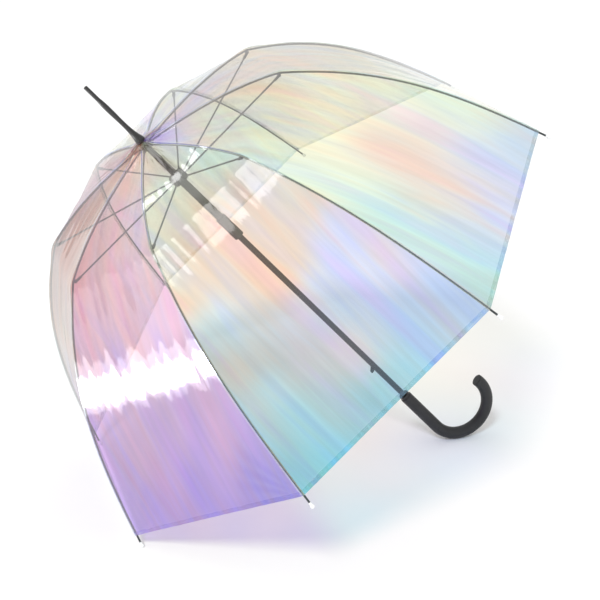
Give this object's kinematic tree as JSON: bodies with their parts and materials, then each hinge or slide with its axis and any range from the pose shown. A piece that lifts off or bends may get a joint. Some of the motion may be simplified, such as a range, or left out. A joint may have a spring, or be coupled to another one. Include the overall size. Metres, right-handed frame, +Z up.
{
  "type": "bubble umbrella",
  "caption": "Clear iridescent film dome umbrella, open, lying on two rib tips and its J handle, with a sliding runner that folds the ribs and stretchers.",
  "frame": {"origin": "on the floor, under the middle of the bounding box of the open umbrella at rest", "axes": "+Z up from the floor; the shaft lies in the XZ plane, the ferrule towards +X and up, the handle towards -X; the XZ plane is the mirror plane"},
  "size_m": [0.7158, 0.8544, 0.6765],
  "materials": {
    "film": "clear iridescent film, high gloss",
    "film_ruff": "clear gathered film",
    "shaft_paint": "black satin paint",
    "ferrule_gloss": "black gloss",
    "notch_plastic": "black matte",
    "wire_steel": "bright wire",
    "handle_soft": "black soft-touch",
    "collar_trim": "black",
    "end_cap": "black matte",
    "runner_head": "black matte",
    "runner_tube": "black satin",
    "runner_grip": "black ribbed",
    "catch_steel": "dark spring steel",
    "rib_steel": "black paint",
    "rib_rod": "black glass-fibre rod",
    "tip_clear": "clear plastic",
    "stretcher_steel": "black paint"
  },
  "bodies": {
    "shaft_and_canopy": {"shaft": "shaft_paint", "ferrule": "ferrule_gloss", "crown_notch": "notch_plastic", "crown_wire": "wire_steel", "crown_rosette": "film_ruff", "handle": "handle_soft", "handle_collar": "collar_trim", "handle_end_cap": "end_cap", "canopy_gore_1": "film", "canopy_gore_2": "film", "canopy_gore_3": "film", "canopy_gore_4": "film", "canopy_gore_5": "film", "canopy_gore_6": "film", "canopy_gore_7": "film", "canopy_gore_8": "film"},
    "runner": {"runner_hub": "runner_head", "runner_sleeve": "runner_tube", "runner_grip": "runner_grip"},
    "catch": {"bottom_catch": "catch_steel"},
    "rib_1": {"rib_inner_1": "rib_steel"},
    "rib_mid_1": {"rib_mid_1": "rib_rod"},
    "rib_end_1": {"rib_end_1": "rib_rod", "rib_tip_1": "tip_clear"},
    "stretcher_1": {"stretcher_1": "stretcher_steel"},
    "rib_2": {"rib_inner_2": "rib_steel"},
    "rib_mid_2": {"rib_mid_2": "rib_rod"},
    "rib_end_2": {"rib_end_2": "rib_rod", "rib_tip_2": "tip_clear"},
    "stretcher_2": {"stretcher_2": "stretcher_steel"},
    "rib_3": {"rib_inner_3": "rib_steel"},
    "rib_mid_3": {"rib_mid_3": "rib_rod"},
    "rib_end_3": {"rib_end_3": "rib_rod", "rib_tip_3": "tip_clear"},
    "stretcher_3": {"stretcher_3": "stretcher_steel"},
    "rib_4": {"rib_inner_4": "rib_steel"},
    "rib_mid_4": {"rib_mid_4": "rib_rod"},
    "rib_end_4": {"rib_end_4": "rib_rod", "rib_tip_4": "tip_clear"},
    "stretcher_4": {"stretcher_4": "stretcher_steel"},
    "rib_5": {"rib_inner_5": "rib_steel"},
    "rib_mid_5": {"rib_mid_5": "rib_rod"},
    "rib_end_5": {"rib_end_5": "rib_rod", "rib_tip_5": "tip_clear"},
    "stretcher_5": {"stretcher_5": "stretcher_steel"},
    "rib_6": {"rib_inner_6": "rib_steel"},
    "rib_mid_6": {"rib_mid_6": "rib_rod"},
    "rib_end_6": {"rib_end_6": "rib_rod", "rib_tip_6": "tip_clear"},
    "stretcher_6": {"stretcher_6": "stretcher_steel"},
    "rib_7": {"rib_inner_7": "rib_steel"},
    "rib_mid_7": {"rib_mid_7": "rib_rod"},
    "rib_end_7": {"rib_end_7": "rib_rod", "rib_tip_7": "tip_clear"},
    "stretcher_7": {"stretcher_7": "stretcher_steel"},
    "rib_8": {"rib_inner_8": "rib_steel"},
    "rib_mid_8": {"rib_mid_8": "rib_rod"},
    "rib_end_8": {"rib_end_8": "rib_rod", "rib_tip_8": "tip_clear"},
    "stretcher_8": {"stretcher_8": "stretcher_steel"}
  },
  "joints": [
    {"name": "runner_slide", "type": "slide", "parent": "shaft_and_canopy", "child": "runner", "axis": [-0.6612, 0, -0.7502], "range_m": [0, 0.3622]},
    {"name": "rib_fold_1", "type": "hinge", "parent": "shaft_and_canopy", "child": "rib_1", "pos_m": [0.22043, 0.00364, 0.55597], "axis": [-0.2871, 0.9239, 0.253], "range_deg": [0, 78.46]},
    {"name": "stretcher_fold_1", "type": "hinge", "parent": "rib_1", "child": "stretcher_1", "pos_m": [0.34266, 0.08572, 0.39494], "axis": [-0.2871, 0.9239, 0.253], "range_deg": [-159.61, 0]},
    {"name": "rib_flex_1", "type": "hinge", "parent": "rib_1", "child": "rib_mid_1", "pos_m": [0.34582, 0.08637, 0.39615], "axis": [-0.2871, 0.9239, 0.253], "range_deg": [-35.73, 0]},
    {"name": "rib_end_flex_1", "type": "hinge", "parent": "rib_mid_1", "child": "rib_end_1", "pos_m": [0.34608, 0.14045, 0.19898], "axis": [-0.2871, 0.9239, 0.253], "range_deg": [-15.4, 0]},
    {"name": "rib_fold_2", "type": "hinge", "parent": "shaft_and_canopy", "child": "rib_2", "pos_m": [0.21657, 0.00878, 0.55937], "axis": [-0.6931, 0.3827, 0.6109], "range_deg": [0, 78.46]},
    {"name": "stretcher_fold_2", "type": "hinge", "parent": "rib_2", "child": "stretcher_2", "pos_m": [0.25171, 0.20695, 0.47509], "axis": [-0.6931, 0.3827, 0.6109], "range_deg": [-159.61, 0]},
    {"name": "rib_flex_2", "type": "hinge", "parent": "rib_2", "child": "rib_mid_2", "pos_m": [0.25418, 0.20852, 0.47691], "axis": [-0.6931, 0.3827, 0.6109], "range_deg": [-35.73, 0]},
    {"name": "rib_end_flex_2", "type": "hinge", "parent": "rib_mid_2", "child": "rib_end_2", "pos_m": [0.19706, 0.33908, 0.33031], "axis": [-0.6931, 0.3827, 0.6109], "range_deg": [-15.4, 0]},
    {"name": "rib_fold_3", "type": "hinge", "parent": "shaft_and_canopy", "child": "rib_3", "pos_m": [0.21112, 0.00878, 0.56418], "axis": [-0.6931, -0.3827, 0.6109], "range_deg": [0, 78.46]},
    {"name": "stretcher_fold_3", "type": "hinge", "parent": "rib_3", "child": "stretcher_3", "pos_m": [0.12309, 0.20695, 0.58845], "axis": [-0.6931, -0.3827, 0.6109], "range_deg": [-159.61, 0]},
    {"name": "rib_flex_3", "type": "hinge", "parent": "rib_3", "child": "rib_mid_3", "pos_m": [0.12459, 0.20852, 0.59113], "axis": [-0.6931, -0.3827, 0.6109], "range_deg": [-35.73, 0]},
    {"name": "rib_end_flex_3", "type": "hinge", "parent": "rib_mid_3", "child": "rib_end_3", "pos_m": [-0.01368, 0.33908, 0.51604], "axis": [-0.6931, -0.3827, 0.6109], "range_deg": [-15.4, 0]},
    {"name": "rib_fold_4", "type": "hinge", "parent": "shaft_and_canopy", "child": "rib_4", "pos_m": [0.20726, 0.00364, 0.56758], "axis": [-0.2871, -0.9239, 0.253], "range_deg": [0, 78.46]},
    {"name": "stretcher_fold_4", "type": "hinge", "parent": "rib_4", "child": "stretcher_4", "pos_m": [0.03214, 0.08572, 0.6686], "axis": [-0.2871, -0.9239, 0.253], "range_deg": [-159.61, 0]},
    {"name": "rib_flex_4", "type": "hinge", "parent": "rib_4", "child": "rib_mid_4", "pos_m": [0.03295, 0.08637, 0.67189], "axis": [-0.2871, -0.9239, 0.253], "range_deg": [-35.73, 0]},
    {"name": "rib_end_flex_4", "type": "hinge", "parent": "rib_mid_4", "child": "rib_end_4", "pos_m": [-0.16269, 0.14045, 0.64737], "axis": [-0.2871, -0.9239, 0.253], "range_deg": [-15.4, 0]},
    {"name": "rib_fold_5", "type": "hinge", "parent": "shaft_and_canopy", "child": "rib_5", "pos_m": [0.20726, -0.00364, 0.56758], "axis": [0.2871, -0.9239, -0.253], "range_deg": [0, 78.46]},
    {"name": "stretcher_fold_5", "type": "hinge", "parent": "rib_5", "child": "stretcher_5", "pos_m": [0.03214, -0.08572, 0.6686], "axis": [0.2871, -0.9239, -0.253], "range_deg": [-159.61, 0]},
    {"name": "rib_flex_5", "type": "hinge", "parent": "rib_5", "child": "rib_mid_5", "pos_m": [0.03295, -0.08637, 0.67189], "axis": [0.2871, -0.9239, -0.253], "range_deg": [-35.73, 0]},
    {"name": "rib_end_flex_5", "type": "hinge", "parent": "rib_mid_5", "child": "rib_end_5", "pos_m": [-0.16269, -0.14045, 0.64737], "axis": [0.2871, -0.9239, -0.253], "range_deg": [-15.4, 0]},
    {"name": "rib_fold_6", "type": "hinge", "parent": "shaft_and_canopy", "child": "rib_6", "pos_m": [0.21112, -0.00878, 0.56418], "axis": [0.6931, -0.3827, -0.6109], "range_deg": [0, 78.46]},
    {"name": "stretcher_fold_6", "type": "hinge", "parent": "rib_6", "child": "stretcher_6", "pos_m": [0.12309, -0.20695, 0.58845], "axis": [0.6931, -0.3827, -0.6109], "range_deg": [-159.61, 0]},
    {"name": "rib_flex_6", "type": "hinge", "parent": "rib_6", "child": "rib_mid_6", "pos_m": [0.12459, -0.20852, 0.59113], "axis": [0.6931, -0.3827, -0.6109], "range_deg": [-35.73, 0]},
    {"name": "rib_end_flex_6", "type": "hinge", "parent": "rib_mid_6", "child": "rib_end_6", "pos_m": [-0.01368, -0.33908, 0.51604], "axis": [0.6931, -0.3827, -0.6109], "range_deg": [-15.4, 0]},
    {"name": "rib_fold_7", "type": "hinge", "parent": "shaft_and_canopy", "child": "rib_7", "pos_m": [0.21657, -0.00878, 0.55937], "axis": [0.6931, 0.3827, -0.6109], "range_deg": [0, 78.46]},
    {"name": "stretcher_fold_7", "type": "hinge", "parent": "rib_7", "child": "stretcher_7", "pos_m": [0.25171, -0.20695, 0.47509], "axis": [0.6931, 0.3827, -0.6109], "range_deg": [-159.61, 0]},
    {"name": "rib_flex_7", "type": "hinge", "parent": "rib_7", "child": "rib_mid_7", "pos_m": [0.25418, -0.20852, 0.47691], "axis": [0.6931, 0.3827, -0.6109], "range_deg": [-35.73, 0]},
    {"name": "rib_end_flex_7", "type": "hinge", "parent": "rib_mid_7", "child": "rib_end_7", "pos_m": [0.19706, -0.33908, 0.33031], "axis": [0.6931, 0.3827, -0.6109], "range_deg": [-15.4, 0]},
    {"name": "rib_fold_8", "type": "hinge", "parent": "shaft_and_canopy", "child": "rib_8", "pos_m": [0.22043, -0.00364, 0.55597], "axis": [0.2871, 0.9239, -0.253], "range_deg": [0, 78.46]},
    {"name": "stretcher_fold_8", "type": "hinge", "parent": "rib_8", "child": "stretcher_8", "pos_m": [0.34266, -0.08572, 0.39494], "axis": [0.2871, 0.9239, -0.253], "range_deg": [-159.61, 0]},
    {"name": "rib_flex_8", "type": "hinge", "parent": "rib_8", "child": "rib_mid_8", "pos_m": [0.34582, -0.08637, 0.39615], "axis": [0.2871, 0.9239, -0.253], "range_deg": [-35.73, 0]},
    {"name": "rib_end_flex_8", "type": "hinge", "parent": "rib_mid_8", "child": "rib_end_8", "pos_m": [0.34608, -0.14045, 0.19898], "axis": [0.2871, 0.9239, -0.253], "range_deg": [-15.4, 0]},
    {"name": "catch_press", "type": "hinge", "parent": "shaft_and_canopy", "child": "catch", "pos_m": [-0.12521, 0, 0.17253], "axis": [0, 1, 0], "range_deg": [0, 13.3], "stiffness_Nm_per_rad": 0.6}
  ],
  "couplings": [
    {"joint": "rib_fold_1", "follows": "runner_slide", "rad_per_m": 3.7796},
    {"joint": "stretcher_fold_1", "follows": "runner_slide", "rad_per_m": -7.69},
    {"joint": "rib_flex_1", "follows": "runner_slide", "rad_per_m": -1.7208},
    {"joint": "rib_end_flex_1", "follows": "runner_slide", "rad_per_m": -0.74124},
    {"joint": "rib_fold_2", "follows": "runner_slide", "rad_per_m": 3.7796},
    {"joint": "stretcher_fold_2", "follows": "runner_slide", "rad_per_m": -7.69},
    {"joint": "rib_flex_2", "follows": "runner_slide", "rad_per_m": -1.7208},
    {"joint": "rib_end_flex_2", "follows": "runner_slide", "rad_per_m": -0.74124},
    {"joint": "rib_fold_3", "follows": "runner_slide", "rad_per_m": 3.7796},
    {"joint": "stretcher_fold_3", "follows": "runner_slide", "rad_per_m": -7.69},
    {"joint": "rib_flex_3", "follows": "runner_slide", "rad_per_m": -1.7208},
    {"joint": "rib_end_flex_3", "follows": "runner_slide", "rad_per_m": -0.74124},
    {"joint": "rib_fold_4", "follows": "runner_slide", "rad_per_m": 3.7796},
    {"joint": "stretcher_fold_4", "follows": "runner_slide", "rad_per_m": -7.69},
    {"joint": "rib_flex_4", "follows": "runner_slide", "rad_per_m": -1.7208},
    {"joint": "rib_end_flex_4", "follows": "runner_slide", "rad_per_m": -0.74124},
    {"joint": "rib_fold_5", "follows": "runner_slide", "rad_per_m": 3.7796},
    {"joint": "stretcher_fold_5", "follows": "runner_slide", "rad_per_m": -7.69},
    {"joint": "rib_flex_5", "follows": "runner_slide", "rad_per_m": -1.7208},
    {"joint": "rib_end_flex_5", "follows": "runner_slide", "rad_per_m": -0.74124},
    {"joint": "rib_fold_6", "follows": "runner_slide", "rad_per_m": 3.7796},
    {"joint": "stretcher_fold_6", "follows": "runner_slide", "rad_per_m": -7.69},
    {"joint": "rib_flex_6", "follows": "runner_slide", "rad_per_m": -1.7208},
    {"joint": "rib_end_flex_6", "follows": "runner_slide", "rad_per_m": -0.74124},
    {"joint": "rib_fold_7", "follows": "runner_slide", "rad_per_m": 3.7796},
    {"joint": "stretcher_fold_7", "follows": "runner_slide", "rad_per_m": -7.69},
    {"joint": "rib_flex_7", "follows": "runner_slide", "rad_per_m": -1.7208},
    {"joint": "rib_end_flex_7", "follows": "runner_slide", "rad_per_m": -0.74124},
    {"joint": "rib_fold_8", "follows": "runner_slide", "rad_per_m": 3.7796},
    {"joint": "stretcher_fold_8", "follows": "runner_slide", "rad_per_m": -7.69},
    {"joint": "rib_flex_8", "follows": "runner_slide", "rad_per_m": -1.7208},
    {"joint": "rib_end_flex_8", "follows": "runner_slide", "rad_per_m": -0.74124}
  ]
}
